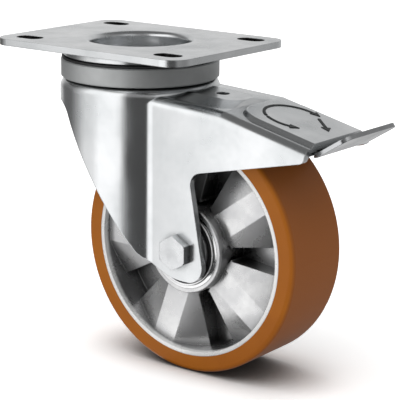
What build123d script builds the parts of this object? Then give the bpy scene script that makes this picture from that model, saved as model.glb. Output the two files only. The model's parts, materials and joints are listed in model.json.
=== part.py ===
from build123d import *
from math import atan2, cos, degrees, radians, sin, sqrt, tan
import os

# Swivel castor with a plate fitting and a foot pedal that stops the wheel and the swivel.
# Millimetres, +Z up. The origin is the centre of the plate's upper face, +X points along
# the trail to the pedal, and the wheel turns about Y.

# Top plate, pressed with a dish in its middle
plate_length = 140.0
plate_width = 110.0
plate_thickness = 4.0
plate_corner_radius = 12.0
slot_spacing_x = 105.0
slot_spacing_y = 80.0
slot_width = 11.0
slot_length = 18.0
dish_radius = 30.5
dish_depth = 15.0
dish_bend_radius = 3.0

# Clearances
running_gap = 0.3
seat_gap = 0.05
dish_gap = 1.0

# Swivel head, from the plate down
race_outer_radius = 46.0
race_height = 5.5
race_chamfer = 0.8
groove_depth = 1.5
seal_thickness = 1.0
seal_overhang = 1.0
seal_width = 2.5
dust_ring_radius = 47.5
dust_ring_height = 11.2
dust_ring_wall = 2.0
dust_ring_chamfer = 0.8
upper_ball_radius = 3.5
upper_ball_count = 16
lower_ball_radius = 3.5
lower_ball_count = 12
lower_ball_pitch_radius = 23.5
crown_groove_depth = 1.0
cage_thickness = 1.4
cage_margin = 0.8

# King pin stack under the plate
king_pin_radius = 8.0
king_pin_head_radius = 13.0
king_pin_head_height = 6.0
king_pin_end = 2.0
lower_race_hub_radius = 15.0
lower_race_radius = 34.0
lower_race_thickness = 4.0
crown_hole_gap = 2.0
notch_count = 24
notch_width = 4.0
notch_depth = 4.5
king_washer_radius = 13.0
king_washer_thickness = 2.0
king_nut_across_flats = 24.0
king_nut_height = 8.0

# Fork, pressed from one sheet
sheet_thickness = 4.0
bend_radius = 6.0
crease_radius = 8.0
crown_radius = 48.0
hood_drop = 7.6
hood_lead_slope = 3.5
hood_slope = 13.5
tail_past_wheel = 11.0
tail_height = 7.3
tail_end_radius = 3.5
skirt_height = 14.0
skirt_length = 24.5
skirt_radius = 14.0
leg_front_radius = 14.0
leg_heel_radius = 40.0
leg_toe_radius = 10.0
leg_corner_radius = 8.0
hood_hole_radius = 4.0

# Raised ridge and panel pressed into the hood
raise_height = 2.2
raise_edge_radius = 1.5
ridge_width = 24.0
ridge_foot_width = 52.0
ridge_end_radius = 10.0
ridge_foot_reach = 3.5
panel_width = 48.0
panel_corner_radius = 16.0

# Places on the fork, as X and Z from the axle
hood_break_from_axle = 29.0
hood_hole_from_axle = 6.5
ridge_end_from_axle = 25.0
panel_start_from_axle = 33.0
leg_front_from_axle = (-25.5, -6.5)
leg_heel_from_axle = (-5.0, -17.2)
leg_toe_from_axle = (20.3, -17.2)
leg_corner_from_axle = (8.0, 47.0)

# Wheel
trail = 55.0
wheel_radius = 75.0
wheel_width = 50.0
tread_thickness = 10.0
tread_shoulder_radius = 3.0
rim_thickness = 2.4
rim_draft = 2.0
web_thickness = 8.0
hub_radius = 26.5
hub_chamfer = 0.8
hub_overhang = 2.0
hub_spacer_length = 3.0
spoke_count = 5
spoke_first_angle = 35.5
spoke_height = 20.5
spoke_band_width = 15.0
spoke_side_slope = 20.0
pocket_angle = 17.0
pocket_from_hub = 1.5
pocket_end_radius = 1.5

# Axle and wheel bearings
axle_radius = 6.0
axle_head_across_flats = 18.0
axle_head_height = 5.0
axle_nut_height = 12.0
axle_end = 2.5
axle_tube_radius = 10.0
bearing_radius = 23.5
bearing_width = 14.0
bearing_inner_ring_radius = 14.3
bearing_outer_ring_bore = 19.4
bearing_ball_count = 8
bearing_seal_radius = 21.8
bearing_seal_thickness = 1.0
spacer_flange_radius = 18.3
spacer_flange_thickness = 1.5
spacer_collar_radius = 12.5

# Brake lever, one bent strip from the swivel lock's prongs to the pedal
wheel_gap = 1.25
pivot_rise = 2.3
pivot_pin_radius = 2.0
pivot_pin_head_radius = 3.0
pivot_pin_head_thickness = 1.0
brake_stroke = 8.0
lever_thickness = 2.5
lever_eye_radius = 3.4
nose_gap = 1.4
nose_width = 22.0
neck_width = 24.0
lever_width = 42.0
pedal_root_width = 51.0
pedal_width = 53.0
pedal_shoulder_gap = 0.8
pedal_past_tail = 2.0
pedal_reach = 20.5
pedal_rise = 13.0
pedal_gap = 1.0
pedal_corner_radius = 6.0
lever_bend_radius = 5.0
prong_count = 3
prong_gap = 0.5
shoe_length = 16.0
shoe_width = 36.0
shoe_gap = 0.3
rivet_radius = 1.6
rivet_head_radius = 3.2
rivet_head_height = 1.2
rivet_spacing = 20.0
rivet_depth = 3.0

# Places along the lever and its bracket, as X from the axle
pivot_from_axle = 6.0
neck_start_from_axle = -9.0
neck_end_from_axle = 33.0
shoulder_from_axle = 45.0
lever_knee_from_axle = 13.0
shoe_start_from_axle = 36.0
bracket_start_from_axle = -9.0
bracket_end_from_axle = 1.0

# Bracket that carries the lever's pivot under the hood
carrier_thickness = 2.5
carrier_eye_radius = 5.0
carrier_bend_radius = 4.0
carrier_gap = 0.4

# Heights in the head that follow from the pieces stacked there
dish_outer_radius = dish_radius + plate_thickness
dish_under = -dish_depth - plate_thickness
race_under = -plate_thickness - race_height
seal_under = race_under - seal_thickness
dust_ring_top = seal_under - running_gap
crown_top = dust_ring_top - dust_ring_height
crown_under = crown_top - sheet_thickness
upper_ball_pitch_radius = (dish_outer_radius + dust_ring_radius - dust_ring_wall) / 2
upper_ball_height = race_under + groove_depth - running_gap - upper_ball_radius
upper_land = upper_ball_height - upper_ball_radius - seat_gap + groove_depth
lower_ball_height = crown_under + crown_groove_depth - seat_gap - lower_ball_radius
lower_land = lower_ball_height - lower_ball_radius - running_gap + groove_depth
lower_race_under = lower_land - lower_race_thickness
king_washer_under = lower_race_under - king_washer_thickness
king_nut_under = king_washer_under - king_nut_height

# Widths and places that follow from the fork, the wheel and the lever
hub_length = wheel_width + 2 * hub_overhang
inner_half = hub_length / 2 + hub_spacer_length
outer_half = inner_half + sheet_thickness
lever_top = lower_race_under - nose_gap
lever_under = lever_top - lever_thickness
axle_height = wheel_radius + wheel_gap - lever_under
axle = (trail, -axle_height)
pivot = (trail + pivot_from_axle, lever_top + pivot_rise)
tail_x = trail + wheel_radius + tail_past_wheel
rim_radius = wheel_radius - tread_thickness
carrier_inner_half = neck_width / 2 + carrier_gap
carrier_outer_half = carrier_inner_half + carrier_thickness


def side_sketch(points):
    """Closed outline seen from the side: each point is an X and a Z."""
    return Plane.XZ * make_face(Polyline(*points, close=True))


def side_circle(centre, radius):
    """Disc seen from the side."""
    return Plane.XZ * Pos(*centre) * Circle(radius)


def across(sketch, half_width):
    """Side sketch made a solid, the same distance to both sides of the middle."""
    return extrude(sketch, amount=half_width, dir=(0, 1, 0), both=True)


def across_between(sketch, start, end):
    """Side sketch made a solid between two values of Y."""
    return Pos(0, start, 0) * extrude(sketch, amount=end - start, dir=(0, 1, 0))


def both_sides(part):
    """A part and its mirror image on the far side."""
    return part + mirror(part, about=Plane.XZ)


def turned(sketch):
    """Half section, each point a radius and a height, turned about Z."""
    return revolve(Plane.XZ * sketch, Axis.Z)


def block(x_from, x_to, y_from, y_to):
    """Rectangle between two corners."""
    width = x_to - x_from
    height = y_to - y_from
    return Pos((x_from + x_to) / 2, (y_from + y_to) / 2) * Rectangle(width, height)


def corner(sketch, x, y, radius):
    """Round the corner of a flat sketch that lies nearest to a point."""
    return fillet(sketch.vertices().sort_by_distance((x, y, 0))[0], radius)


def on_axle(part):
    """Part made about Z, laid along the wheel's axle."""
    return Pos(trail, 0, -axle_height) * Rot(-90, 0, 0) * part


def from_axle(place):
    """Side point given from the axle."""
    return (axle[0] + place[0], axle[1] + place[1])


def ball_row(count, pitch_radius, radius, height):
    """Separate balls, evenly round Z."""
    places = PolarLocations(pitch_radius, count)
    return Compound([Pos(0, 0, height) * place * Sphere(radius) for place in places])


def ball_cage(count, pitch_radius, radius, height):
    """Flat ring with a pocket for each ball."""
    reach = radius + cage_margin
    cage = extrude(Circle(pitch_radius + reach) - Circle(pitch_radius - reach), cage_thickness)
    pockets = Sketch() + PolarLocations(pitch_radius, count) * Circle(radius + running_gap)
    return Pos(0, 0, height - cage_thickness / 2) * (cage - extrude(pockets, cage_thickness))


def turned_about(point, centre, angle):
    """Side point turned about a centre, seen with X to the right and Z up, in degrees."""
    turn = radians(angle)
    dx = point[0] - centre[0]
    dz = point[1] - centre[1]
    return (centre[0] + dx * cos(turn) - dz * sin(turn), centre[1] + dx * sin(turn) + dz * cos(turn))


def bent_strip(points, thickness, bend_radius):
    """Side view of a bent strip whose middle line runs through the points."""
    line = FilletPolyline(*points, radius=bend_radius)
    return Plane.XZ * trace(line, thickness)


# Plate and what turns with it

def make_top_plate():
    plate = extrude(RectangleRounded(plate_length, plate_width, plate_corner_radius), -plate_thickness)
    places = GridLocations(slot_spacing_x, slot_spacing_y, 2, 2)
    slots = Sketch() + places * SlotOverall(slot_length, slot_width)
    plate -= extrude(slots, -plate_thickness)
    outside = block(0, dish_outer_radius, dish_under, 0)
    outside = corner(outside, dish_outer_radius, dish_under, dish_bend_radius + plate_thickness)
    hollow = block(0, dish_radius, -dish_depth, 0) + block(0, dish_outer_radius, 0, plate_thickness)
    hollow = corner(hollow, dish_radius, -dish_depth, dish_bend_radius)
    hollow = corner(hollow, dish_radius, 0, dish_bend_radius)
    plate = plate + turned(outside) - turned(hollow)
    return plate - Cylinder(king_pin_radius + seat_gap, 4 * dish_depth)


def make_upper_race():
    section = block(dish_outer_radius + seat_gap, race_outer_radius, race_under, -plate_thickness)
    lower_corner = section.vertices().sort_by_distance((race_outer_radius, race_under, 0))[0]
    section = chamfer(lower_corner, race_chamfer)
    section -= Pos(upper_ball_pitch_radius, upper_ball_height) * Circle(upper_ball_radius + running_gap)
    return turned(section)


def make_head_seal():
    outer = race_outer_radius + seal_overhang
    return turned(block(outer - seal_width, outer, seal_under, race_under))


def make_lower_race():
    """Lower race clamped under the plate: the lever's prongs lock into the notches of its rim."""
    bore = king_pin_radius + seat_gap
    section = block(bore, lower_race_hub_radius, lower_race_under, dish_under)
    section += block(bore, lower_race_radius, lower_race_under, lower_land)
    section -= Pos(lower_ball_pitch_radius, lower_ball_height) * Circle(lower_ball_radius + running_gap)
    notch = Rectangle(2 * notch_depth, notch_width)
    notches = Sketch() + PolarLocations(lower_race_radius, notch_count) * notch
    depth = lower_race_thickness + lower_ball_radius
    return turned(section) - Pos(0, 0, lower_race_under) * extrude(notches, depth)


def make_king_pin():
    head_top = -dish_depth + king_pin_head_height
    shank_end = king_nut_under - king_pin_end
    section = block(0, king_pin_head_radius, -dish_depth, head_top)
    section = corner(section, king_pin_head_radius, head_top, king_pin_head_height * 0.6)
    section += block(0, king_pin_radius, shank_end, -dish_depth)
    section = chamfer(section.vertices().sort_by_distance((king_pin_radius, shank_end, 0))[0], 1.0)
    return turned(section)


def make_king_pin_washer():
    bore = king_pin_radius + seat_gap
    return turned(block(bore, king_washer_radius, king_washer_under, lower_race_under))


def hex_nut(across_flats, height, bore):
    """Nut standing on Z with its corners turned off."""
    corner_radius = across_flats / 2 / cos(radians(30))
    nut = extrude(RegularPolygon(across_flats / 2, 6, major_radius=False, rotation=30), height)
    cone = block(0, corner_radius, 0, height)
    cut = (corner_radius - across_flats / 2) / 2
    cone = chamfer(cone.vertices().sort_by_distance((corner_radius, height, 0))[0], 0.58 * cut, cut)
    nut = nut & turned(cone)
    return nut - extrude(Circle(bore), height)


def make_king_pin_nut():
    nut = hex_nut(king_nut_across_flats, king_nut_height, king_pin_radius + seat_gap)
    return Pos(0, 0, king_washer_under) * Rot(180, 0, 0) * nut


# Fork and what turns with it

def hood_knee(inset):
    """Point where the hood's two slopes meet, moved in by an inset."""
    lean = radians((hood_lead_slope + hood_slope) / 2)
    depth = inset / cos(radians((hood_slope - hood_lead_slope) / 2))
    return (trail + hood_break_from_axle - depth * sin(lean), crown_top - hood_drop - depth * cos(lean))


def hood_height(x, inset):
    """Height of the hood's low sides at a value of X."""
    knee = hood_knee(inset)
    slope = hood_lead_slope if x < knee[0] else hood_slope
    return knee[1] - (x - knee[0]) * tan(radians(slope))


def hood_plane(inset, slope):
    """Plane of one of the hood's slopes, with its origin where they meet and X down the hood."""
    knee = hood_knee(inset)
    lean = radians(slope)
    return Plane((knee[0], 0, knee[1]), x_dir=(cos(lean), 0, -sin(lean)), z_dir=(sin(lean), 0, cos(lean)))


def raised(foot, top):
    """Pressed rise between the outline of its foot and the outline of its top."""
    rise = loft([foot, Pos(0, 0, raise_height) * top])
    rise = fillet(rise.faces().sort_by(Axis.Z)[-1].edges(), raise_edge_radius)
    return rise + extrude(foot, -raise_height)


def make_ridge(inset):
    """Ridge from the drum to the hole, which falls away gently to the hood's sides."""
    start = -trail - hood_break_from_axle + crown_radius / 2
    end = ridge_end_from_axle - hood_break_from_axle - inset / 2
    half = ridge_width / 2
    foot_half = (ridge_foot_width - inset) / 2
    top = block(start, end, -half, half)
    foot = block(start, end + ridge_foot_reach, -foot_half, foot_half)
    for side in (1, -1):
        top = corner(top, end, side * half, ridge_end_radius)
        foot = corner(foot, end + ridge_foot_reach, side * foot_half, ridge_end_radius)
    return hood_plane(inset, hood_lead_slope) * raised(foot, top)


def make_panel(inset):
    """Raised panel on the hood's long slope, open at the tail."""
    start = panel_start_from_axle - hood_break_from_axle + inset / 2
    half = (panel_width - inset) / 2
    foot_start = start - raise_height
    foot_half = half + raise_height
    top = block(start, tail_x, -half, half)
    foot = block(foot_start, tail_x, -foot_half, foot_half)
    for side in (1, -1):
        top = corner(top, start, side * half, panel_corner_radius)
        foot = corner(foot, foot_start, side * foot_half, panel_corner_radius + raise_height)
    return hood_plane(inset, hood_slope) * raised(foot, top)


def fork_block(inset, tail_reach):
    """Solid drum, hood and legs in one, moved in by an inset, with its top edges bent."""
    radius = crown_radius - inset
    half = outer_half - inset
    end = tail_x + tail_reach
    floor = -axle_height - wheel_radius
    bend = bend_radius - inset
    drum = Pos(0, 0, floor) * extrude(Circle(radius), crown_top - inset - floor)
    drum = fillet(drum.edges().sort_by(Axis.Z)[-1], bend)
    plan = (Circle(radius) & block(0, radius, -radius, radius)) + block(0, end, -half, half)
    crease_x = sqrt(radius ** 2 - half ** 2)
    for side in (1, -1):
        plan = corner(plan, crease_x, side * half, crease_radius + inset)
    outline = side_sketch([
        (0, hood_height(0, inset)), hood_knee(inset), (end, hood_height(end, inset)),
        (end, floor), (0, floor),
    ])
    hood = Pos(0, 0, floor) * extrude(plan, -floor) & across(outline, 2 * radius)
    tops = hood.faces().filter_by(lambda face: face.normal_at().Z > 0.5)
    hood = fillet(tops.edges().filter_by(lambda edge: abs(edge.center().Y) > 1), bend)
    rises = (make_ridge(inset) + make_panel(inset)) & Pos(end / 2, 0, 0) * Box(end, 2 * radius, -2 * floor)
    return hood + drum + rises


def fork_side():
    """Side view that the folded sheet is cut to."""
    skirt_foot = crown_top - skirt_height
    front = (-crown_radius - 1, skirt_foot)
    tail_foot = (tail_x, hood_height(tail_x, 0) - tail_height)
    above = 10.0
    rounded = [
        ((skirt_length - crown_radius, skirt_foot), skirt_radius),
        (from_axle(leg_front_from_axle), leg_front_radius),
        (from_axle(leg_heel_from_axle), leg_heel_radius),
        (from_axle(leg_toe_from_axle), leg_toe_radius),
        (from_axle(leg_corner_from_axle), leg_corner_radius),
        (tail_foot, tail_end_radius),
    ]
    points = [front] + [point for point, radius in rounded] + [(tail_x, above), (front[0], above)]
    outline = make_face(Polyline(*points, close=True))
    for point, radius in rounded:
        outline = corner(outline, point[0], point[1], radius)
    return Plane.XZ * outline


def make_fork():
    shell = fork_block(0, sheet_thickness) - fork_block(sheet_thickness, 2 * sheet_thickness)
    fork = shell & across(fork_side(), 2 * crown_radius)
    fork -= Cylinder(lower_race_hub_radius + crown_hole_gap, 4 * -crown_under)
    groove = Pos(lower_ball_pitch_radius, lower_ball_height) * Circle(lower_ball_radius + seat_gap)
    fork -= turned(groove)
    fork -= Pos(trail + hood_hole_from_axle, 0, crown_under) * Cylinder(hood_hole_radius, 4 * sheet_thickness)
    return fork - across(side_circle(axle, axle_radius + seat_gap), 2 * outer_half)


def make_dust_ring():
    inner = dish_outer_radius + dish_gap
    section = block(inner, dust_ring_radius, crown_top, dust_ring_top)
    for height in (crown_top, dust_ring_top):
        outside = section.vertices().sort_by_distance((dust_ring_radius, height, 0))[0]
        section = chamfer(outside, dust_ring_chamfer)
    section -= block(inner, dust_ring_radius - dust_ring_wall, upper_land, dust_ring_top)
    section -= Pos(upper_ball_pitch_radius, upper_ball_height) * Circle(upper_ball_radius + seat_gap)
    return turned(section)


def make_axle_bolt():
    head = hex_nut(axle_head_across_flats, axle_head_height, axle_radius)
    length = 2 * outer_half + axle_nut_height + axle_end
    shank = Pos(0, 0, -length) * extrude(Circle(axle_radius), length + axle_head_height)
    bolt = head + chamfer(shank.edges().sort_by(Axis.Z)[0], 1.0)
    return on_axle(Pos(0, 0, -outer_half) * Rot(180, 0, 0) * bolt)


def make_axle_nut():
    nut = hex_nut(axle_head_across_flats, axle_nut_height, axle_radius + seat_gap)
    return on_axle(Pos(0, 0, outer_half) * nut)


def make_axle_tube():
    tube = extrude(Circle(axle_tube_radius) - Circle(axle_radius + seat_gap), 2 * inner_half)
    return on_axle(Pos(0, 0, -inner_half) * tube)


def make_hub_spacer(side):
    bore = axle_tube_radius + seat_gap
    face = hub_length / 2
    section = block(bore, spacer_collar_radius, face, inner_half)
    section += block(bore, spacer_flange_radius, inner_half - spacer_flange_thickness, inner_half)
    return on_axle(Rot(0 if side > 0 else 180, 0, 0) * turned(section))


def bearing_section(inner, outer):
    face = hub_length / 2
    return block(inner, outer, face - bearing_width, face)


bearing_middle = (hub_length - bearing_width) / 2
bearing_pitch_radius = (bearing_inner_ring_radius + bearing_outer_ring_bore) / 2
bearing_ball_radius = (bearing_outer_ring_bore - bearing_inner_ring_radius) / 2 + 1.0


def make_bearing_inner_ring(side):
    section = bearing_section(axle_tube_radius + seat_gap, bearing_inner_ring_radius)
    section -= Pos(bearing_pitch_radius, bearing_middle) * Circle(bearing_ball_radius + running_gap)
    return on_axle(Rot(0 if side > 0 else 180, 0, 0) * turned(section))


def make_carrier():
    """Bent bracket welded inside the hood's ridge, with a lug at each side of the lever's pivot."""
    knee = hood_knee(sheet_thickness + seat_gap)
    web_start = trail + bracket_start_from_axle
    web_end = trail + bracket_end_from_axle
    lug_end = pivot[0] + carrier_eye_radius
    deep = 4 * carrier_eye_radius

    def under_ridge(x, depth):
        return (x, knee[1] + raise_height - (x - knee[0]) * tan(radians(hood_lead_slope)) - depth)

    channel = side_sketch([
        under_ridge(web_start, 0), under_ridge(lug_end, 0),
        under_ridge(lug_end, deep), under_ridge(web_start, deep),
    ])
    outside = across(channel, carrier_outer_half)
    top_edges = outside.edges().filter_by(lambda edge: edge.center().Z > under_ridge(edge.center().X, 1.0)[1])
    outside = fillet([edge for edge in top_edges if abs(edge.center().Y) > 1], carrier_bend_radius)
    hollow = side_sketch([
        under_ridge(0, carrier_thickness), under_ridge(web_end, carrier_thickness),
        under_ridge(web_end, -deep), under_ridge(tail_x, -deep),
        under_ridge(tail_x, 2 * deep), under_ridge(0, 2 * deep),
    ])
    hollow = across(hollow, carrier_inner_half)
    lug = make_hull([
        *(Pos(*pivot) * Circle(carrier_eye_radius)).edges(),
        Line(under_ridge(web_start, 0), under_ridge(web_start, carrier_thickness)),
        Line(under_ridge(web_start, 0), under_ridge(lug_end, 0)),
    ])
    carrier = (outside - hollow) & across(Plane.XZ * lug, carrier_outer_half)
    return carrier - across(side_circle(pivot, pivot_pin_radius + seat_gap), 2 * outer_half)


def make_pivot_pin():
    half = carrier_outer_half + seat_gap
    shank = across(side_circle(pivot, pivot_pin_radius), half)
    head = across_between(side_circle(pivot, pivot_pin_head_radius), half, half + pivot_pin_head_thickness)
    return shank + both_sides(head)


# Wheel

def make_tread():
    half = wheel_width / 2
    section = block(rim_radius + seat_gap, wheel_radius, -half, half)
    for height in (-half, half):
        section = corner(section, wheel_radius, height, tread_shoulder_radius)
    return on_axle(turned(section))


def make_wheel_centre():
    half = wheel_width / 2
    hub_half = hub_length / 2
    barrel = rim_radius - rim_thickness
    middle = barrel - rim_draft
    web = web_thickness / 2
    pocket = make_face(Polyline(
        (hub_radius, web), (middle, web), (barrel, half),
        (barrel, 2 * half), (hub_radius, 2 * half), close=True))
    hub = block(0, hub_radius, -hub_half, hub_half)
    for height in (-hub_half, hub_half):
        hub = chamfer(hub.vertices().sort_by_distance((hub_radius, height, 0))[0], hub_chamfer)
    body = block(0, rim_radius, -half, half) + hub
    wheel = turned(body - pocket - mirror(pocket, about=Plane.XZ))
    inside_rim = Cylinder(barrel + seat_gap, wheel_width)
    for turn in range(spoke_count):
        angle = spoke_first_angle + turn * 360 / spoke_count
        wheel += Rot(0, 0, -angle) * make_spoke() & inside_rim
    wheel -= Cylinder(bearing_outer_ring_bore, 2 * hub_length)
    seat = Cylinder(bearing_radius + seat_gap, bearing_width)
    for side in (1, -1):
        wheel -= Pos(0, 0, side * (hub_half - bearing_width / 2)) * seat
    return on_axle(wheel)


def make_pocket():
    """Wedge cut down to the wheel's web, along X."""
    start = hub_radius + pocket_from_hub
    lean = tan(radians(pocket_angle / 2))
    wedge = make_face(Polyline(
        (start, -start * lean), (rim_radius, -rim_radius * lean), (rim_radius, rim_radius * lean),
        (start, start * lean), close=True))
    for side in (1, -1):
        wedge = corner(wedge, start, side * start * lean, pocket_end_radius)
    return Pos(0, 0, web_thickness / 2) * extrude(wedge, wheel_width)


def make_spoke():
    """Spoke along X between the middles of two pockets: a flat band with sloping sides."""
    reach = 180 / spoke_count
    band = spoke_band_width / 2
    top = spoke_height
    ends = []
    for radius in (hub_radius - 2, rim_radius):
        half = radius * tan(radians(reach))
        edge = top - (half - band) * tan(radians(spoke_side_slope))
        section = [
            (-half, -edge), (-band, -top), (band, -top), (half, -edge),
            (half, edge), (band, top), (-band, top), (-half, edge),
        ]
        face = make_face(Polyline(*section, close=True))
        ends.append(Plane((radius, 0, 0), x_dir=(0, 1, 0), z_dir=(1, 0, 0)) * face)
    spoke = loft(ends)
    for side in (1, -1):
        pocket = Rot(0, 0, side * reach) * make_pocket()
        spoke -= pocket + mirror(pocket, about=Plane.XY)
    return spoke


def make_bearing_outer_ring(side):
    section = bearing_section(bearing_outer_ring_bore, bearing_radius)
    section -= Pos(bearing_pitch_radius, bearing_middle) * Circle(bearing_ball_radius + seat_gap)
    face = hub_length / 2
    section -= block(0, bearing_seal_radius, face - bearing_seal_thickness, face)
    return on_axle(Rot(0 if side > 0 else 180, 0, 0) * turned(section))


def make_bearing_balls(side):
    row = ball_row(bearing_ball_count, bearing_pitch_radius, bearing_ball_radius, bearing_middle)
    return on_axle(Rot(0 if side > 0 else 180, 0, 0) * row)


def make_bearing_seal(side):
    face = hub_length / 2
    inner = bearing_inner_ring_radius + running_gap
    section = block(inner, bearing_seal_radius - seat_gap, face - bearing_seal_thickness, face)
    return on_axle(Rot(0 if side > 0 else 180, 0, 0) * turned(section))


# Brake lever with its shoe

def lever_line():
    """Middle line of the lever's strip, from the prongs to the pedal's tip."""
    middle = (lever_top + lever_under) / 2
    prong_x = lower_race_radius - notch_depth + 2 * prong_gap
    tail_under = hood_height(tail_x, sheet_thickness) + raise_height
    root = (tail_x + pedal_past_tail, tail_under - pedal_gap - lever_thickness / 2)
    tip = (root[0] + pedal_reach, root[1] + pedal_rise)
    return [(prong_x, middle), (trail + lever_knee_from_axle, middle), root, tip]


def lever_plan():
    """Lever seen from above, with its narrow neck over the wheel and its wide pedal."""
    prongs, knee, root, tip = lever_line()
    beyond = tip[0] + lever_thickness
    neck_end = trail + neck_end_from_axle
    shoulder = trail + shoulder_from_axle
    pedal_start = tail_x + pedal_shoulder_gap
    outline = [
        (prongs[0], nose_width / 2),
        (trail + neck_start_from_axle, neck_width / 2),
        (neck_end, neck_width / 2),
        (shoulder, lever_width / 2),
        (pedal_start, lever_width / 2),
        (pedal_start, pedal_root_width / 2),
        (beyond, pedal_width / 2),
    ]
    mirrored = [(x, -y) for x, y in reversed(outline)]
    plan = make_face(Polyline(*outline, *mirrored, close=True))
    for side in (1, -1):
        plan = corner(plan, neck_end, side * neck_width / 2, pedal_corner_radius)
        plan = corner(plan, shoulder, side * lever_width / 2, pedal_corner_radius)
    plan -= Circle(lower_race_radius + 2 * prong_gap)
    prong_length = notch_depth + 2 * prong_gap
    prong = Pos(prong_length / 2, 0) * Rectangle(prong_length, notch_width - 2 * prong_gap)
    step = 360 / notch_count
    span = (prong_count - 1) * step
    for place in PolarLocations(prongs[0], prong_count, -span / 2, span, endpoint=True):
        plan += place * prong
    return plan


def make_brake_lever():
    prongs, knee, root, tip = lever_line()
    strip = across(bent_strip([prongs, knee, root, tip], lever_thickness, lever_bend_radius), pedal_width)
    lever = strip & Pos(0, 0, -axle_height) * extrude(lever_plan(), axle_height)
    tip_edges = lever.edges().filter_by(lambda edge: edge.center().X > tip[0] - lever_thickness)
    tip_corners = [edge for edge in tip_edges if abs(edge.center().Y) > pedal_root_width / 2]
    tip_corners = [edge for edge in tip_corners if edge.length < 1.5 * lever_thickness]
    lever = fillet(tip_corners, pedal_corner_radius)
    ear = block(pivot[0] - lever_eye_radius, pivot[0] + lever_eye_radius, knee[1], pivot[1])
    ear = Plane.XZ * (ear + Pos(*pivot) * Circle(lever_eye_radius))
    lever += both_sides(across_between(ear, neck_width / 2 - lever_thickness, neck_width / 2))
    lever -= at_rivets(Cylinder(rivet_radius + seat_gap, 4 * lever_thickness))
    return lever - across(side_circle(pivot, pivot_pin_radius + seat_gap), lever_width)


def lever_height(x):
    """Height of the strip's middle line between its knee and the pedal's root."""
    prongs, knee, root, tip = lever_line()
    return knee[1] + (root[1] - knee[1]) * (x - knee[0]) / (root[0] - knee[0])


def at_rivets(part):
    """A part about Z, copied to each rivet with its Z square to the lever's strip."""
    prongs, knee, root, tip = lever_line()
    slope = degrees(atan2(knee[1] - root[1], root[0] - knee[0]))
    x = trail + shoe_start_from_axle + shoe_length / 2
    places = [Pos(x, side * rivet_spacing / 2, lever_height(x)) * Rot(0, slope, 0) for side in (-1, 1)]
    return Compound([place * part for place in places])


def make_brake_shoe():
    """Rubber wedge under the lever: its face meets the tread when the pedal is down."""
    under = lever_thickness / 2 + seat_gap
    start = trail + shoe_start_from_axle
    end = start + shoe_length
    outline = side_sketch([
        (start, lever_height(start) - under),
        (end, lever_height(end) - under),
        (end, -axle_height),
        (start, -axle_height),
    ])
    wheel_seen = turned_about(axle, pivot, brake_stroke)
    outline -= side_circle(wheel_seen, wheel_radius + shoe_gap)
    shoe = across(outline, shoe_width / 2) - at_rivets(Cylinder(rivet_radius + seat_gap, wheel_radius))
    head_room = Pos(0, 0, -rivet_depth) * extrude(Circle(rivet_head_radius + seat_gap), -wheel_radius)
    return shoe - at_rivets(head_room)


def make_shoe_rivets():
    """Rivet with a head on the strip and one in a recess under the shoe."""
    top = lever_thickness / 2
    rivet = extrude(Circle(rivet_radius), top + rivet_depth + rivet_head_height)
    rivet = Pos(0, 0, -rivet_depth - rivet_head_height) * rivet
    for height in (top, -rivet_depth - rivet_head_height):
        rivet += Pos(0, 0, height) * extrude(Circle(rivet_head_radius), rivet_head_height)
    return at_rivets(rivet)


upper_row = (upper_ball_count, upper_ball_pitch_radius, upper_ball_radius, upper_ball_height)
lower_row = (lower_ball_count, lower_ball_pitch_radius, lower_ball_radius, lower_ball_height)
parts = {
    "top_plate": make_top_plate(),
    "upper_race": make_upper_race(),
    "head_seal": make_head_seal(),
    "lower_race": make_lower_race(),
    "king_pin": make_king_pin(),
    "king_pin_washer": make_king_pin_washer(),
    "king_pin_nut": make_king_pin_nut(),
    "fork": make_fork(),
    "dust_ring": make_dust_ring(),
    "upper_balls": ball_row(*upper_row),
    "upper_ball_cage": ball_cage(*upper_row),
    "lower_balls": ball_row(*lower_row),
    "lower_ball_cage": ball_cage(*lower_row),
    "axle_bolt": make_axle_bolt(),
    "axle_nut": make_axle_nut(),
    "axle_tube": make_axle_tube(),
    "brake_carrier": make_carrier(),
    "brake_pivot_pin": make_pivot_pin(),
    "tread": make_tread(),
    "wheel_centre": make_wheel_centre(),
    "brake_lever": make_brake_lever(),
    "brake_shoe": make_brake_shoe(),
    "shoe_rivets": make_shoe_rivets(),
}
for side_name, side in (("near", -1), ("far", 1)):
    parts["hub_spacer_" + side_name] = make_hub_spacer(side)
    parts["bearing_inner_ring_" + side_name] = make_bearing_inner_ring(side)
    parts["bearing_outer_ring_" + side_name] = make_bearing_outer_ring(side)
    parts["bearing_balls_" + side_name] = make_bearing_balls(side)
    parts["bearing_seal_" + side_name] = make_bearing_seal(side)

os.makedirs("parts", exist_ok=True)
for name, part in parts.items():
    part.label = name
    export_step(part, "parts/" + name + ".step")
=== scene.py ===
import json
import math

import bpy
from mathutils import Matrix, Vector


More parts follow.
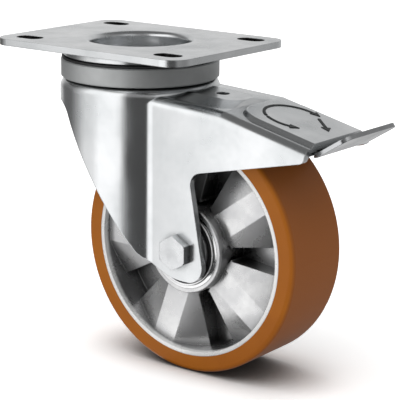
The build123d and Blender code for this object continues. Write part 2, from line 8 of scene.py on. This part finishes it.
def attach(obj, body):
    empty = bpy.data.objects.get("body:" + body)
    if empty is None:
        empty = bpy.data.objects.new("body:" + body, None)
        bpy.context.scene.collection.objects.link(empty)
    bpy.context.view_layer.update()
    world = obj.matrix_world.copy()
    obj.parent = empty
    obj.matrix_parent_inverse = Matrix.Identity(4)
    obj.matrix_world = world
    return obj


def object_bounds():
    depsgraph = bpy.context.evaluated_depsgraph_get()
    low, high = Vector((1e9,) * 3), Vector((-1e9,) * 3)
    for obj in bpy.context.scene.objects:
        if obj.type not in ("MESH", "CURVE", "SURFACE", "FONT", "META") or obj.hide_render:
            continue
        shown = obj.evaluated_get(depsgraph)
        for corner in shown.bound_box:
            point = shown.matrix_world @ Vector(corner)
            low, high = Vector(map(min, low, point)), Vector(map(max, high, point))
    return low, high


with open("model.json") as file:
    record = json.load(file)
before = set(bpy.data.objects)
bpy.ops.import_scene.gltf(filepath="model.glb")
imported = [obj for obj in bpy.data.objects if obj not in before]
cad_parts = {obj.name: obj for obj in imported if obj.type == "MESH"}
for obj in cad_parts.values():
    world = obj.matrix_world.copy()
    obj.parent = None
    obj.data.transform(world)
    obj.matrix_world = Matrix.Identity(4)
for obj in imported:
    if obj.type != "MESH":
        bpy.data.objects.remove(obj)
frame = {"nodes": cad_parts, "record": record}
cadBox = [list(corner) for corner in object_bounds()]
nodes = frame["nodes"]
print("frame loaded,", len(nodes), "nodes")

axleMiddle = (0.055, 0.0, -0.115)
roundAxle = (1.0, 0.0, 1.0)      # distances from the axle leave out the way along it


# Shader helpers, shared by every material

shading = {
    "openSamples": 6,
    "openRange": (0.25, 0.85),     # how shut a spot is when its painted shade is full, and when it is gone
    "edgeSamples": 4,
    "noiseRoughness": 0.55,
    "fineDetail": 2.0,
}


def startMaterial(name):
    material = bpy.data.materials.new(name)
    material.use_nodes = True
    tree = material.node_tree
    shader = tree.nodes["Principled BSDF"]
    place = tree.nodes.new("ShaderNodeTexCoord")
    return material, tree, shader, place.outputs["Object"]


def mathNode(tree, operation, first, second=None):
    node = tree.nodes.new("ShaderNodeMath")
    node.operation = operation
    tree.links.new(first, node.inputs[0])
    if second is not None:
        tree.links.new(second, node.inputs[1])
    return node


def stretched(tree, vector, scale):
    mapping = tree.nodes.new("ShaderNodeMapping")
    mapping.inputs["Scale"].default_value = scale
    tree.links.new(vector, mapping.inputs["Vector"])
    return mapping.outputs["Vector"]


def noise(tree, vector, scale, detail=3.0):
    node = tree.nodes.new("ShaderNodeTexNoise")
    node.inputs["Scale"].default_value = scale
    node.inputs["Detail"].default_value = detail
    node.inputs["Roughness"].default_value = shading["noiseRoughness"]
    tree.links.new(vector, node.inputs["Vector"])
    return node.outputs["Fac"]


def spread(tree, value, low, high, fromLow=0.3, fromHigh=0.7):
    node = tree.nodes.new("ShaderNodeMapRange")
    node.inputs["From Min"].default_value = fromLow
    node.inputs["From Max"].default_value = fromHigh
    node.inputs["To Min"].default_value = low
    node.inputs["To Max"].default_value = high
    tree.links.new(value, node.inputs["Value"])
    return node.outputs["Result"]


def blendColours(tree, share, first, second):
    node = tree.nodes.new("ShaderNodeMix")
    node.data_type = "RGBA"
    tree.links.new(share, node.inputs["Factor"])
    for socket, colour in (("A", first), ("B", second)):
        slot = next(s for s in node.inputs if s.name == socket and s.type == "RGBA")
        if isinstance(colour, tuple):
            slot.default_value = (*colour, 1)
        else:
            tree.links.new(colour, slot)
    return next(s for s in node.outputs if s.type == "RGBA")


def bumped(tree, shader, height, strength, distance, before=None):
    node = tree.nodes.new("ShaderNodeBump")
    node.inputs["Strength"].default_value = strength
    node.inputs["Distance"].default_value = distance
    tree.links.new(height, node.inputs["Height"])
    if before is not None:
        tree.links.new(before, node.inputs["Normal"])
    tree.links.new(node.outputs["Normal"], shader.inputs["Normal"])
    return node.outputs["Normal"]


def distanceTo(tree, vector, point, scale):
    node = tree.nodes.new("ShaderNodeVectorMath")
    node.operation = "DISTANCE"
    node.inputs[1].default_value = tuple(a * b for a, b in zip(point, scale))
    tree.links.new(stretched(tree, vector, scale), node.inputs[0])
    return node.outputs["Value"]


# Ambient occlusion from 0 in shut spots to 1 in the open, which darkens colours below as painted
# shade
def openness(tree, reach):
    node = tree.nodes.new("ShaderNodeAmbientOcclusion")
    node.samples = shading["openSamples"]
    node.inputs["Distance"].default_value = reach
    return spread(tree, node.outputs["AO"], 0, 1, *shading["openRange"])


def roundedEdges(tree, radius):
    node = tree.nodes.new("ShaderNodeBevel")
    node.samples = shading["edgeSamples"]
    node.inputs["Radius"].default_value = radius
    return node.outputs["Normal"]


# Metals: soft clouds, drawn streaks, a fine grain, rounded edges and painted shade in the corners

metalBumps = {
    "cloudDetail": 4.0,
    "streakStrength": 0.5,
    "grainStrength": 0.4,
}

zincSheet = {
    "clear": (0.80, 0.81, 0.82),
    "clouded": (0.66, 0.68, 0.69),
    "cloudScale": 34.0,
    "roughness": (0.17, 0.30),
    "streakScale": (520.0, 520.0, 26.0),
    "streakDepth": 0.00004,
    "grainScale": 2600.0,
    "grainDepth": 0.00002,
    "edgeRadius": 0.0007,
    "corner": (0.16, 0.17, 0.17),
    "cornerReach": 0.006,
}
# The lever's zinc is the sheet zinc painted darker, a painted shade
shadedLeverZinc = dict(zincSheet, clear=(0.60, 0.61, 0.62), clouded=(0.44, 0.45, 0.46))


def makeZincSheet(name, facts):
    material, tree, shader, place = startMaterial(name)
    shader.inputs["Metallic"].default_value = 1.0
    clouds = noise(tree, place, facts["cloudScale"], metalBumps["cloudDetail"])
    colour = blendColours(tree, spread(tree, clouds, 0, 1), facts["clear"], facts["clouded"])
    # Corners and recesses darken toward a near black by ambient occlusion, a painted shade
    colour = blendColours(tree, openness(tree, facts["cornerReach"]), facts["corner"], colour)
    tree.links.new(colour, shader.inputs["Base Color"])
    tree.links.new(spread(tree, clouds, *facts["roughness"]), shader.inputs["Roughness"])
    streaks = noise(tree, stretched(tree, place, facts["streakScale"]), 1.0, shading["fineDetail"])
    edges = roundedEdges(tree, facts["edgeRadius"])
    drawn = bumped(
        tree, shader, streaks, metalBumps["streakStrength"], facts["streakDepth"], edges)
    grain = noise(tree, place, facts["grainScale"], shading["fineDetail"])
    bumped(tree, shader, grain, metalBumps["grainStrength"], facts["grainDepth"], drawn)
    return material


# The slot walls are painted near black, a painted shade; the slots lie alike in all four corners,
# so their walls are found on mirrored coordinates
paintedSlotShade = {
    "colour": (0.05, 0.05, 0.05),
    "x": (0.0430, 0.0615),
    "y": (0.0330, 0.0470),
    "z": (0.0002, 0.0059),
}


def makePlateZinc(name, facts, paintedSlotWalls):
    material = makeZincSheet(name, facts)
    tree = material.node_tree
    shader = tree.nodes["Principled BSDF"]
    mirrored = tree.nodes.new("ShaderNodeVectorMath")
    mirrored.operation = "ABSOLUTE"
    tree.links.new(tree.nodes["Texture Coordinate"].outputs["Object"], mirrored.inputs[0])
    parts = tree.nodes.new("ShaderNodeSeparateXYZ")
    tree.links.new(mirrored.outputs[0], parts.inputs["Vector"])
    share = None
    for axis in "xyz":
        low, high = paintedSlotWalls[axis]
        within = mathNode(tree, "COMPARE", parts.outputs[axis.upper()])
        within.inputs[1].default_value = (low + high) / 2
        within.inputs[2].default_value = (high - low) / 2
        if share is not None:
            within = mathNode(tree, "MULTIPLY", share, within.outputs[0])
        share = within.outputs[0]
    zinc = shader.inputs["Base Color"].links[0].from_socket
    # The slot walls are blended to near black, a painted shade
    colour = blendColours(tree, share, zinc, paintedSlotWalls["colour"])
    tree.links.new(colour, shader.inputs["Base Color"])
    return material


satinRing = {
    "clear": (0.56, 0.57, 0.57),
    "clouded": (0.48, 0.49, 0.49),
    "cloudScale": 40.0,
    "roughness": (0.58, 0.68),
    "streakScale": (20.0, 20.0, 2600.0),
    "streakDepth": 0.00005,
    "grainScale": 3000.0,
    "grainDepth": 0.00002,
    "edgeRadius": 0.0003,
    "corner": (0.16, 0.16, 0.16),
    "cornerReach": 0.003,
}

plainBolt = {
    "clear": (0.78, 0.79, 0.80),
    "clouded": (0.62, 0.63, 0.64),
    "cloudScale": 160.0,
    "roughness": (0.22, 0.36),
    "streakScale": (500.0, 500.0, 500.0),
    "streakDepth": 0.00004,
    "grainScale": 4200.0,
    "grainDepth": 0.00002,
    "edgeRadius": 0.0005,
    "corner": (0.16, 0.16, 0.16),
    "cornerReach": 0.004,
}

groundSteel = {
    "clear": (0.86, 0.86, 0.86),
    "clouded": (0.78, 0.78, 0.79),
    "cloudScale": 90.0,
    "roughness": (0.08, 0.16),
    "streakScale": (300.0, 2400.0, 300.0),
    "streakDepth": 0.00002,
    "grainScale": 5000.0,
    "grainDepth": 0.00001,
    "edgeRadius": 0.0002,
    "corner": (0.30, 0.30, 0.30),
    "cornerReach": 0.002,
}

castMetal = {
    "clear": (0.74, 0.74, 0.74),
    "clouded": (0.60, 0.60, 0.61),
    "cloudScale": 70.0,
    "roughness": (0.22, 0.34),
    "streakScale": (420.0, 420.0, 420.0),
    "streakDepth": 0.00006,
    "grainScale": 2400.0,
    "grainDepth": 0.00004,
    "edgeRadius": 0.0008,
    "metallic": 0.94,
    # Near black deep in the pockets between the spokes, a painted shade
    "corner": (0.07, 0.07, 0.07),
    "cornerReach": 0.016,
}

# The rim of the wheel centre, turned bright
turnedFace = {
    "rimReach": (0.0622, 0.0624),
    "colour": (0.93, 0.93, 0.92),
    "metallic": 0.25,
}


def makeCastWheel(name, facts, face):
    material = makeZincSheet(name, facts)
    tree = material.node_tree
    shader = tree.nodes["Principled BSDF"]
    place = tree.nodes["Texture Coordinate"].outputs["Object"]
    reach = distanceTo(tree, place, axleMiddle, roundAxle)
    rim = spread(tree, reach, 0, 1, *face["rimReach"])
    cast = shader.inputs["Base Color"].links[0].from_socket
    tree.links.new(blendColours(tree, rim, cast, face["colour"]), shader.inputs["Base Color"])
    metallic = spread(tree, rim, facts["metallic"], face["metallic"], 0, 1)
    tree.links.new(metallic, shader.inputs["Metallic"])
    return material


wheelTyre = {
    "clear": (0.48, 0.148, 0.008),
    "deep": (0.40, 0.116, 0.007),
    "cloudScale": 18.0,
    "tread": (0.310, 0.094, 0.015),      # the rolling face, painted darker than the sides as painted shade
    "treadReach": (0.0738, 0.0749),
    "roughness": 0.42,
    "specular": 0.20,
    "grainScale": 900.0,
    "grainStrength": 0.15,
    "grainDepth": 0.00005,
}


def makeTyre(name, facts):
    material, tree, shader, place = startMaterial(name)
    clouds = noise(tree, place, facts["cloudScale"])
    colour = blendColours(tree, spread(tree, clouds, 0, 1), facts["clear"], facts["deep"])
    reach = distanceTo(tree, place, axleMiddle, roundAxle)
    # The tread is blended to a darker colour, a painted shade
    rolled = spread(tree, reach, 0, 1, *facts["treadReach"])
    colour = blendColours(tree, rolled, colour, facts["tread"])
    tree.links.new(colour, shader.inputs["Base Color"])
    shader.inputs["Roughness"].default_value = facts["roughness"]
    shader.inputs["Specular IOR Level"].default_value = facts["specular"]
    grain = noise(tree, place, facts["grainScale"], shading["fineDetail"])
    bumped(tree, shader, grain, facts["grainStrength"], facts["grainDepth"])
    return material


# Rubber, nylon and the near black arrow marks, whose dark is painted shade, alike but for their
# colour and gloss
plainGrain = {
    "cloudScale": 60.0,
    "darkest": 0.75,
    "grainScale": 1200.0,
    "grainStrength": 0.3,
    "grainDepth": 0.00006,
}
blackRubber = {"colour": (0.018, 0.018, 0.019), "roughness": 0.55, "metallic": 0.0}
cageNylon = {"colour": (0.72, 0.70, 0.64), "roughness": 0.45, "metallic": 0.0}
lockNylon = {"colour": (0.10, 0.22, 0.48), "roughness": 0.42, "metallic": 0.0}
paintedGrooveShade = {"colour": (0.055, 0.06, 0.06), "roughness": 0.5, "metallic": 0.6}


def makePlain(name, facts):
    material, tree, shader, place = startMaterial(name)
    shader.inputs["Metallic"].default_value = facts["metallic"]
    darker = tuple(plainGrain["darkest"] * part for part in facts["colour"])
    share = spread(tree, noise(tree, place, plainGrain["cloudScale"]), 0, 1)
    colour = blendColours(tree, share, facts["colour"], darker)
    tree.links.new(colour, shader.inputs["Base Color"])
    shader.inputs["Roughness"].default_value = facts["roughness"]
    grain = noise(tree, place, plainGrain["grainScale"])
    bumped(tree, shader, grain, plainGrain["grainStrength"], plainGrain["grainDepth"])
    return material


finishes = {
    "zinc_plate": makeZincSheet("zincSheet", zincSheet),
    "zinc_lever": makeZincSheet("shadedLeverZinc", shadedLeverZinc),
    "zinc_satin": makeZincSheet("satinRing", satinRing),
    "zinc_fastener": makeZincSheet("plainBolt", plainBolt),
    "bearing_steel": makeZincSheet("groundSteel", groundSteel),
    "cast_aluminium": makeCastWheel("castMetal", castMetal, turnedFace),
    "polyurethane": makeTyre("wheelTyre", wheelTyre),
    "black_rubber": makePlain("blackRubber", blackRubber),
    "cage_plastic": makePlain("cageNylon", cageNylon),
}
plateZinc = makePlateZinc("plateZinc", zincSheet, paintedSlotShade)
slotOf = {row["node"]: row["material_slot"] for row in frame["record"]["subparts"]}
for name, node in nodes.items():
    node.data.materials.clear()
    node.data.materials.append(plateZinc if name == "top_plate" else finishes[slotOf[name]])
print("finishes on,", len(finishes), "of them")


# Small pieces that the CAD leaves out, each turned or swept from a short profile

modelling = {
    "mergeWithin": 0.000002,
    "smoothBelow": 35.0,       # degrees
    "profileRounds": 3,
    "markRounds": 2,
    "helixSteps": 48,
}


def finishPiece(piece, name, body, finish):
    piece.name = name
    piece.data.materials.clear()
    piece.data.materials.append(finish)
    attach(piece, body)
    return piece


def startShaping(piece):
    bpy.ops.object.mode_set(mode="EDIT")
    bpy.ops.mesh.select_all(action="SELECT")
    return piece


def cleanMesh():
    bpy.ops.mesh.select_all(action="SELECT")
    bpy.ops.mesh.remove_doubles(threshold=modelling["mergeWithin"])
    bpy.ops.mesh.normals_make_consistent(inside=False)


def standUp(facts):
    # A profile is drawn flat, in radius and height, and turned up where its axis is Z
    if facts["axis"] == "Z":
        bpy.ops.transform.rotate(
            value=math.radians(-90), orient_axis="X", center_override=facts["middle"])


def sweepProfile(facts):
    # A rounded rectangle, radius by height, goes round an axis through the middle
    (near, far), (low, high) = facts["radius"], facts["height"]
    bpy.ops.object.select_all(action="DESELECT")
    bpy.ops.mesh.primitive_plane_add(size=1, location=facts["middle"])
    piece = startShaping(bpy.context.object)
    bpy.ops.transform.resize(value=(far - near, high - low, 1))
    bpy.ops.mesh.bevel(
        offset=facts["rounding"], segments=modelling["profileRounds"], affect="VERTICES")
    bpy.ops.mesh.select_all(action="SELECT")
    bpy.ops.transform.translate(value=((near + far) / 2, (low + high) / 2, 0))
    standUp(facts)
    axis = (0, 0, 1) if facts["axis"] == "Z" else (0, 1, 0)
    span = math.radians(facts.get("span", 360))
    bpy.ops.mesh.spin(steps=facts["steps"], angle=span, center=facts["middle"], axis=axis)
    cleanMesh()
    bpy.ops.object.mode_set(mode="OBJECT")
    bpy.ops.object.shade_smooth_by_angle(angle=math.radians(modelling["smoothBelow"]))
    return piece


def settle(piece, turnZ=0.0, slope=0.0):
    piece.rotation_mode = "ZYX"
    piece.rotation_euler = (0, math.radians(slope), math.radians(turnZ))
    bpy.ops.object.transform_apply(location=True, rotation=True, scale=True)
    return piece


# Nylon rings that stop both nuts from working loose
lockRings = [
    {"name": "axleNutRing", "body": "swivel", "middle": axleMiddle, "axis": "Y",
     "radius": (0.0060, 0.0076), "height": (0.0455, 0.0468), "rounding": 0.0005, "steps": 64},
    {"name": "kingNutRing", "body": "plate", "middle": (0, 0, 0), "axis": "Z",
     "radius": (0.0082, 0.0104), "height": (-0.0457, -0.0445), "rounding": 0.0005, "steps": 64},
]
ringNylon = makePlain("lockNylon", lockNylon)
for facts in lockRings:
    ring = settle(sweepProfile(facts))
    finishPiece(ring, facts["name"], facts["body"], ringNylon)

# Thin lips of the bearing seals
lipRing = {
    "names": ("bearingLipNear", "bearingLipFar"),
    "middle": axleMiddle, "axis": "Y",
    "radius": (0.0203, 0.0216), "height": (-0.0281, -0.0269), "rounding": 0.0005, "steps": 96,
    "across": 0.0550,      # from the near lip to the far one
}
nearLip = settle(sweepProfile(lipRing))
farLip = nearLip.copy()
farLip.data = nearLip.data.copy()
bpy.context.collection.objects.link(farLip)
farLip.location.y = lipRing["across"]
bpy.ops.object.select_all(action="DESELECT")
farLip.select_set(True)
bpy.context.view_layer.objects.active = farLip
settle(farLip)
for lip, name in zip((nearLip, farLip), lipRing["names"]):
    finishPiece(lip, name, "wheel", finishes["bearing_steel"])
print("turned rings made")

# Threads on the ends of the axle bolt and the king pin
threads = [
    {"name": "axleThread", "body": "swivel", "middle": (0.055, 0.0466, -0.115), "axis": "Y",
     "radius": 0.00595, "tooth": 0.00040, "pitch": 0.00125, "turns": 1},
    {"name": "kingThread", "body": "plate", "middle": (0, 0, -0.0464), "axis": "Z",
     "radius": 0.00795, "tooth": 0.00040, "pitch": 0.0010, "turns": 1},
]


def cutThread(facts):
    bpy.ops.object.select_all(action="DESELECT")
    bpy.ops.mesh.primitive_circle_add(
        vertices=3, radius=facts["tooth"], fill_type="NGON", location=facts["middle"])
    piece = startShaping(bpy.context.object)
    bpy.ops.transform.rotate(
        value=math.radians(90), orient_axis="Z", center_override=facts["middle"])
    bpy.ops.transform.translate(value=(facts["radius"], 0, 0))
    standUp(facts)
    bpy.ops.object.mode_set(mode="OBJECT")
    helix = piece.modifiers.new("helix", "SCREW")
    helix.axis = facts["axis"]
    helix.screw_offset = facts["pitch"]
    helix.iterations = facts["turns"]
    helix.steps = modelling["helixSteps"]
    helix.render_steps = modelling["helixSteps"]
    bpy.ops.object.modifier_apply(modifier=helix.name)
    bpy.ops.object.mode_set(mode="EDIT")
    cleanMesh()
    bpy.ops.object.mode_set(mode="OBJECT")
    return piece


for facts in threads:
    thread = settle(cutThread(facts))
    finishPiece(thread, facts["name"], facts["body"], finishes["zinc_fastener"])
print("threads cut")

# Turning arrows pressed into the raised panel of the hood, which slopes down to the back
panel = {
    "middle": (0.111, 0.001, -0.03382),
    "slope": 13.5,
    "radius": (0.0166, 0.0184),
    "height": (-0.0004, 0.0004),
    "rounding": 0.00025,
    "arcs": [(238, 152), (296, 52)],     # start and span of each arrow, in degrees
    "arcStep": 4,
    "headPast": 6,                       # degrees from an arc's end to the middle of its head
    "headLength": 0.0078,
    "headWidth": 0.0070,
    "line": ((0.0085, 0.0125), (0.0185, 0.0045)),
    "lineHead": (0.0205, 0.0029),
}
markWidth = panel["radius"][1] - panel["radius"][0]
markHeight = panel["height"][1] - panel["height"][0]


def pressArc(facts, start, span):
    arc = {"middle": (0, 0, 0), "axis": "Z", "radius": facts["radius"], "height": facts["height"],
           "rounding": facts["rounding"], "steps": span // facts["arcStep"], "span": span}
    return settle(sweepProfile(arc), turnZ=start)


def pressHead(facts, out, angle, along):
    bpy.ops.object.select_all(action="DESELECT")
    bpy.ops.mesh.primitive_cylinder_add(vertices=3, radius=0.5, depth=1, location=(out, 0, 0))
    piece = startShaping(bpy.context.object)
    size = (facts["headWidth"], along * facts["headLength"], markHeight)
    bpy.ops.transform.resize(value=size, center_override=(out, 0, 0))
    bpy.ops.mesh.normals_make_consistent(inside=False)
    bpy.ops.mesh.bevel(offset=facts["rounding"], segments=modelling["markRounds"])
    bpy.ops.object.mode_set(mode="OBJECT")
    return settle(settle(piece), turnZ=angle)


def pressLine(facts, middle, length, angle):
    bpy.ops.object.select_all(action="DESELECT")
    bpy.ops.mesh.primitive_cube_add(size=1, location=(*middle, 0))
    piece = startShaping(bpy.context.object)
    bpy.ops.transform.resize(value=(length, markWidth, markHeight))
    bpy.ops.mesh.bevel(offset=facts["rounding"], segments=modelling["markRounds"])
    bpy.ops.object.mode_set(mode="OBJECT")
    return settle(piece, turnZ=angle)


lineStart, lineEnd = (Vector(point) for point in panel["line"])
lineWay = lineEnd - lineStart
lineTurn = math.degrees(math.atan2(lineWay.y, lineWay.x))
marks = [pressLine(panel, (lineStart + lineEnd) / 2, lineWay.length, lineTurn)]
for start, span in panel["arcs"]:
    marks.append(pressArc(panel, start, span))
ringRadius = sum(panel["radius"]) / 2
longStart, longSpan = panel["arcs"][0]
marks.append(pressHead(panel, ringRadius, longStart - longSpan - panel["headPast"], -1))
marks.append(pressHead(panel, ringRadius, panel["arcs"][1][0] + panel["headPast"], 1))
pointer = pressHead(panel, 0, lineTurn - 90, 1)
pointer.location = (*panel["lineHead"], 0)
marks.append(settle(pointer))

bpy.ops.object.select_all(action="DESELECT")
for mark in marks:
    mark.select_set(True)
bpy.context.view_layer.objects.active = marks[0]
bpy.ops.object.join()
arrows = bpy.context.object
arrows.location = panel["middle"]
settle(arrows, slope=panel["slope"])
# The arrows are near black, a painted shade of pressed grooves
paintedGrooveZinc = makePlain("paintedGrooveShade", paintedGrooveShade)
finishPiece(arrows, "turningArrows", "swivel", paintedGrooveZinc)
print("arrows pressed")


# Floor, light and camera

# A low round wall that only reflections see, like the flags and softboxes of a product studio.
# Each band is degrees from the camera's side, then brightness low down and high up.
wallBands = [
    (-180, 0.80, 0.68), (-150, 0.92, 0.66), (-140, 0.62, 0.50), (-128, 0.14, 0.20),
    (-106, 0.13, 0.20), (-92, 0.45, 0.60), (-82, 0.90, 1.25), (-68, 0.92, 1.30),
    (-60, 1.30, 1.30), (-30, 1.25, 1.25), (-23, 0.07, 0.25), (12, 0.07, 0.30),
    (22, 0.28, 0.80), (60, 0.24, 0.30), (100, 0.40, 0.30), (140, 0.60, 0.58), (180, 0.80, 0.68),
]
wall = {
    "middle": (0.03, 0.0),
    "radius": 0.27,
    "top": 0.30,
    "fade": (-0.02, 0.05),       # heights between which a band goes from low to high
    "duskFrom": 0.18,
    "ceiling": 0.16,             # what reflections see above the wall
    "facing": -53.0,             # where the camera stands, in degrees from +X
    "sides": 96,
}


def ringRamp(tree, share, column, brightest):
    ramp = tree.nodes.new("ShaderNodeValToRGB")
    for band in wallBands[1:-1]:
        ramp.color_ramp.elements.new((band[0] + 180) / 360)
    for stop, band in zip(ramp.color_ramp.elements, wallBands):
        stop.color = (band[column] / brightest,) * 3 + (1,)
    tree.links.new(share, ramp.inputs["Fac"])
    return ramp.outputs["Color"]


def studioTone(tree, place, facts):
    turn = tree.nodes.new("ShaderNodeMapping")
    turn.vector_type = "TEXTURE"
    turn.inputs["Location"].default_value = (*facts["middle"], 0)
    turn.inputs["Rotation"].default_value = (0, 0, math.radians(facts["facing"]))
    tree.links.new(place, turn.inputs["Vector"])
    parts = tree.nodes.new("ShaderNodeSeparateXYZ")
    tree.links.new(turn.outputs["Vector"], parts.inputs["Vector"])
    angle = mathNode(tree, "ARCTAN2", parts.outputs["Y"], parts.outputs["X"])
    share = spread(tree, angle.outputs[0], 0, 1, -math.pi, math.pi)
    brightest = max(max(band[1:]) for band in wallBands)
    above = spread(tree, parts.outputs["Z"], 0, 1, *facts["fade"])
    lowTone, highTone = (ringRamp(tree, share, column, brightest) for column in (1, 2))
    level = blendColours(tree, above, lowTone, highTone)
    dusk = spread(tree, parts.outputs["Z"], 0, 1, facts["duskFrom"], facts["top"])
    level = blendColours(tree, dusk, level, (facts["ceiling"] / brightest,) * 3)
    glow = tree.nodes.new("ShaderNodeEmission")
    glow.inputs["Strength"].default_value = brightest
    tree.links.new(level, glow.inputs["Color"])
    return glow.outputs[0]


studio = {
    "floorSize": 60.0,
    "floorDrop": 0.0002,
    "floorColour": 0.92,
    "seenColour": 1.62,        # for the camera, so that the floor runs out to white
    # How far and how dark the painted contact shadow on the floor is
    "paintedShadowReach": 0.045,
    "paintedShadowDarkest": 0.10,
}


def makeFloor(facts):
    height = cadBox[0][2] - facts["floorDrop"]
    bpy.ops.mesh.primitive_plane_add(size=facts["floorSize"], location=(0, 0, height))
    floor = bpy.context.object
    floor.name = "floor"
    bpy.ops.object.transform_apply(location=True)
    material, tree, shader, place = startMaterial("paleFloor")
    tree.nodes.remove(shader)
    rays = tree.nodes.new("ShaderNodeLightPath")
    matt = tree.nodes.new("ShaderNodeBsdfDiffuse")
    # The floor darkens by ambient occlusion near the object, a painted contact shadow
    paintedContactShadow = spread(tree, openness(tree, facts["paintedShadowReach"]), facts["paintedShadowDarkest"], 1, 0, 1)
    pale = spread(
        tree, rays.outputs["Is Camera Ray"], facts["floorColour"], facts["seenColour"], 0, 1)
    tree.links.new(mathNode(tree, "MULTIPLY", paintedContactShadow, pale).outputs[0], matt.inputs["Color"])
    # For reflections the floor glows in the wall's bands, a painted reflection
    both = tree.nodes.new("ShaderNodeMixShader")
    tree.links.new(rays.outputs["Is Glossy Ray"], both.inputs["Fac"])
    tree.links.new(matt.outputs[0], both.inputs[1])
    tree.links.new(studioTone(tree, place, wall), both.inputs[2])
    tree.links.new(both.outputs[0], tree.nodes["Material Output"].inputs["Surface"])
    floor.data.materials.append(material)
    return floor


def makeWall(facts):
    low = cadBox[0][2]
    depth = facts["top"] - low
    bpy.ops.mesh.primitive_cylinder_add(
        vertices=facts["sides"], radius=facts["radius"], depth=depth, end_fill_type="NOTHING",
        location=(*facts["middle"], low + depth / 2))
    ring = bpy.context.object
    ring.name = "studioWall"
    bpy.ops.object.transform_apply(location=True)
    bpy.ops.object.shade_smooth()
    material, tree, shader, place = startMaterial("studioWall")
    tree.nodes.remove(shader)
    glow = studioTone(tree, place, facts)
    tree.links.new(glow, tree.nodes["Material Output"].inputs["Surface"])
    ring.data.materials.append(material)
    ring.visible_camera = False
    ring.visible_diffuse = False
    ring.visible_shadow = False
    return ring


makeFloor(studio)
makeWall(wall)

room = {
    "diffuse": 0.54,     # light on the object, where 1 would be a white room
    "glossy": wall["ceiling"],
}


def makeRoom(facts):
    world = bpy.data.worlds.new("studio")
    bpy.context.scene.world = world
    world.use_nodes = True
    tree = world.node_tree
    background = tree.nodes["Background"]
    background.inputs["Color"].default_value = (1, 1, 1, 1)
    rays = tree.nodes.new("ShaderNodeLightPath")
    diffuse = spread(tree, rays.outputs["Is Diffuse Ray"], 1.0, facts["diffuse"], 0, 1)
    glossy = spread(tree, rays.outputs["Is Glossy Ray"], 1.0, facts["glossy"], 0, 1)
    strength = mathNode(tree, "MULTIPLY", diffuse, glossy)
    tree.links.new(strength.outputs[0], background.inputs["Strength"])
    return world


makeRoom(room)

keyLamp = {
    "place": (-0.35, -0.70, 1.9),
    "target": (0.03, 0.0, -0.1),
    "spread": 75.0,
    "power": 1.05,
}


def addLamp(name, facts):
    bpy.ops.object.light_add(type="SUN", location=facts["place"])
    lamp = bpy.context.object
    lamp.name = name
    lamp.data.angle = math.radians(facts["spread"])
    lamp.data.energy = facts["power"]
    lamp.visible_glossy = False
    way = Vector(facts["target"]) - lamp.location
    lamp.rotation_euler = way.to_track_quat("-Z", "Y").to_euler()
    return lamp


addLamp("keyLamp", keyLamp)

cameraFacts = {
    "azimuth": 37.0,
    "elevation": 14.16,
    "roll": 0.62,
    "distance": 0.9773,
    "lens": 143.5,
    "sensor": 36.0,
    "aim": (0.0291, 0.0222, -0.0993),
}


def addCamera(facts):
    turn = math.radians(facts["azimuth"])
    rise = math.radians(facts["elevation"])
    level = math.cos(rise)
    back = Vector((math.sin(turn) * level, -math.cos(turn) * level, math.sin(rise)))
    right = Vector((math.cos(turn), math.sin(turn), 0))
    up = back.cross(right)
    rolled = Matrix.Rotation(math.radians(facts["roll"]), 3, back)
    right, up = rolled @ right, rolled @ up
    bpy.ops.object.camera_add(location=Vector(facts["aim"]) + back * facts["distance"])
    camera = bpy.context.object
    camera.rotation_euler = Matrix((right, up, back)).transposed().to_euler()
    camera.data.lens = facts["lens"]
    camera.data.sensor_width = facts["sensor"]
    camera.data.dof.use_dof = False
    bpy.context.scene.camera = camera
    return camera


addCamera(cameraFacts)
bpy.context.scene.view_settings.view_transform = "Standard"
print("floor, light and camera set")
